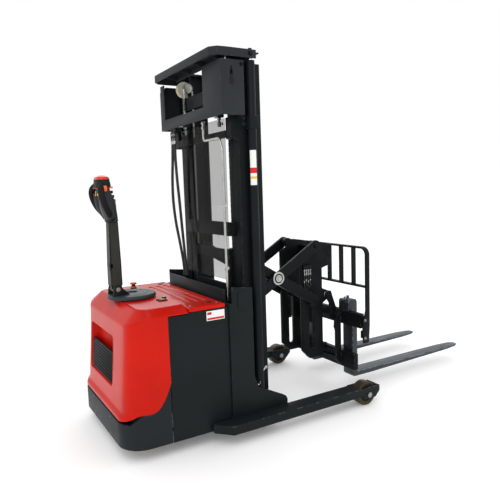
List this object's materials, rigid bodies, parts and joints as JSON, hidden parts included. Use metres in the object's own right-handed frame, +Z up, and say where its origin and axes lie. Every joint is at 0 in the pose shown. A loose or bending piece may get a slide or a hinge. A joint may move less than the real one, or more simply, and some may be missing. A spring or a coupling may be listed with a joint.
{
  "type": "electric pedestrian reach stacker",
  "caption": "Pedestrian-controlled electric stacker with a two-stage mast, straddle legs and a pantograph that reaches the forks forward.",
  "frame": {"origin": "on the floor, in the middle of the length and width with the forks reached out and lowered", "axes": "+X towards the fork tips, +Y to the left of travel, +Z up"},
  "size_m": [2.748, 1.112, 2.137],
  "materials": {
    "red_paint": "gloss",
    "dark_paint": "satin",
    "black_paint": "satin",
    "grey_tiller": "satin",
    "black_plastic": "matte",
    "bare_steel": "brushed",
    "chrome_rod": "polished",
    "cast_fork": "satin",
    "polyurethane": "satin",
    "drive_tyre": "matte",
    "clear_screen": "clear",
    "hose_rubber": "matte",
    "cell_case": "painted tray"
  },
  "bodies": {
    "chassis": {"chassis_frame": "dark_paint", "rear_floor_frame": "dark_paint", "leg_left": "dark_paint", "leg_right": "dark_paint", "load_wheel_axles": "bare_steel", "rear_cowl": "red_paint", "rear_skirt": "black_paint", "side_panel_left": "dark_paint", "side_panel_right": "dark_paint", "battery": "cell_case", "deck_controls": "black_plastic", "outer_mast": "dark_paint", "mast_head_bracket": "black_paint", "lift_cylinder_barrels": "black_paint", "mast_guard": "clear_screen", "chain_anchors": "bare_steel", "hydraulic_hoses": "hose_rubber", "hydraulic_pipe": "bare_steel"},
    "wheel_left": {"load_wheel_left": "polyurethane"},
    "wheel_right": {"load_wheel_right": "polyurethane"},
    "battery_lid": {"battery_cover": "red_paint"},
    "steering": {"drive_unit": "black_paint", "tiller_base": "black_plastic"},
    "drive_wheel_body": {"drive_wheel": "drive_tyre"},
    "tiller": {"tiller_arm": "grey_tiller", "tiller_head": "grey_tiller"},
    "caster_left": {"caster_fork_left": "bare_steel"},
    "caster_right": {"caster_fork_right": "bare_steel"},
    "caster_roll_left": {"caster_wheel_left": "polyurethane"},
    "caster_roll_right": {"caster_wheel_right": "polyurethane"},
    "inner_stage": {"inner_mast": "dark_paint", "mast_crown": "dark_paint", "mast_pulleys": "black_paint", "lift_rods": "chrome_rod", "lift_chains": "bare_steel"},
    "carriage": {"lift_carriage": "dark_paint"},
    "inner_arm_pair": {"scissor_inner_arms": "dark_paint"},
    "outer_arm_pair": {"scissor_outer_arms": "dark_paint"},
    "reach_head": {"reach_frame": "dark_paint", "reach_cross_members": "dark_paint"},
    "fork_head": {"fork_carriage": "dark_paint", "load_backrest": "dark_paint", "fork_left": "cast_fork", "fork_right": "cast_fork"},
    "reach_ram_barrel": {"reach_cylinder_barrel": "black_paint"},
    "reach_ram_rod": {"reach_cylinder_rod": "chrome_rod"},
    "tilt_ram_barrel": {"tilt_cylinder_barrel": "black_paint"},
    "tilt_ram_rod": {"tilt_cylinder_rod": "chrome_rod"}
  },
  "joints": [
    {"name": "load_wheel_left_spin", "type": "hinge", "parent": "chassis", "child": "wheel_left", "pos_m": [0.154, 0.4935, 0.075], "axis": [0, 1, 0], "continuous": true},
    {"name": "load_wheel_right_spin", "type": "hinge", "parent": "chassis", "child": "wheel_right", "pos_m": [0.154, -0.4935, 0.075], "axis": [0, 1, 0], "continuous": true},
    {"name": "battery_lid_open", "type": "hinge", "parent": "chassis", "child": "battery_lid", "pos_m": [-1, 0, 0.776], "axis": [0, -1, 0], "range_deg": [0, 85]},
    {"name": "steering_turn", "type": "hinge", "parent": "chassis", "child": "steering", "pos_m": [-1.161, 0, 0.4], "axis": [0, 0, 1], "range_deg": [-90, 90]},
    {"name": "drive_wheel_spin", "type": "hinge", "parent": "steering", "child": "drive_wheel_body", "pos_m": [-1.161, 0, 0.115], "axis": [0, 1, 0], "continuous": true},
    {"name": "tiller_tilt", "type": "hinge", "parent": "steering", "child": "tiller", "pos_m": [-1.252, 0, 0.85], "axis": [0, -1, 0], "range_deg": [0, 80], "stiffness_Nm_per_rad": 40, "springref_deg": -14.32},
    {"name": "caster_left_swivel", "type": "hinge", "parent": "chassis", "child": "caster_left", "pos_m": [-1.158, 0.262, 0.15], "axis": [0, 0, 1], "continuous": true},
    {"name": "caster_left_spin", "type": "hinge", "parent": "caster_left", "child": "caster_roll_left", "pos_m": [-1.19, 0.262, 0.062], "axis": [0, 1, 0], "continuous": true},
    {"name": "caster_right_swivel", "type": "hinge", "parent": "chassis", "child": "caster_right", "pos_m": [-1.158, -0.262, 0.15], "axis": [0, 0, 1], "continuous": true},
    {"name": "caster_right_spin", "type": "hinge", "parent": "caster_right", "child": "caster_roll_right", "pos_m": [-1.19, -0.262, 0.062], "axis": [0, 1, 0], "continuous": true},
    {"name": "mast_lift", "type": "slide", "parent": "chassis", "child": "inner_stage", "axis": [0, 0, 1], "range_m": [0, 1.35], "deforming": ["lift_chains"]},
    {"name": "carriage_lift", "type": "slide", "parent": "inner_stage", "child": "carriage", "axis": [0, 0, 1], "range_m": [0, 1.35]},
    {"name": "scissor_reach", "type": "hinge", "parent": "carriage", "child": "inner_arm_pair", "pos_m": [-0.579, 0, 1.003], "axis": [0, 1, 0], "range_deg": [-3, 49]},
    {"name": "scissor_cross", "type": "hinge", "parent": "inner_arm_pair", "child": "outer_arm_pair", "pos_m": [-0.27411, 0, 0.8198], "axis": [0, 1, 0], "range_deg": [-98.5, 6.5]},
    {"name": "reach_head_pivot", "type": "hinge", "parent": "outer_arm_pair", "child": "reach_head", "pos_m": [0.03079, 0, 1.003], "axis": [0, 1, 0], "range_deg": [-3.5, 49.5]},
    {"name": "fork_tilt", "type": "hinge", "parent": "reach_head", "child": "fork_head", "pos_m": [0.162, 0, 0.653], "axis": [0, -1, 0], "range_deg": [-2, 4]},
    {"name": "reach_ram_swing", "type": "hinge", "parent": "carriage", "child": "reach_ram_barrel", "pos_m": [-0.6, 0, 0.45], "axis": [0, 1, 0], "range_deg": [-9, 1]},
    {"name": "reach_ram_stroke", "type": "slide", "parent": "reach_ram_barrel", "child": "reach_ram_rod", "axis": [0.2629, 0, 0.9648], "range_m": [-0.084, 0.006]},
    {"name": "tilt_ram_swing", "type": "hinge", "parent": "reach_head", "child": "tilt_ram_barrel", "pos_m": [0.15, 0, 0.5], "axis": [0, 1, 0], "range_deg": [-7, 4]},
    {"name": "tilt_ram_stroke", "type": "slide", "parent": "tilt_ram_barrel", "child": "tilt_ram_rod", "axis": [0.2056, 0, -0.9786], "range_m": [-0.003, 0.005]}
  ],
  "couplings": [
    {"joint": "carriage_lift", "follows": "mast_lift", "ratio": 1},
    {"joint": "scissor_cross", "follows": "scissor_reach", "ratio": -2},
    {"joint": "reach_head_pivot", "follows": "scissor_reach", "ratio": 1},
    {"joint": "reach_ram_swing", "follows": "scissor_reach", "ratio": -0.17},
    {"joint": "reach_ram_stroke", "follows": "scissor_reach", "m_per_rad": -0.09683},
    {"joint": "tilt_ram_swing", "follows": "fork_tilt", "ratio": -1.595},
    {"joint": "tilt_ram_stroke", "follows": "fork_tilt", "m_per_rad": 0.04698}
  ]
}
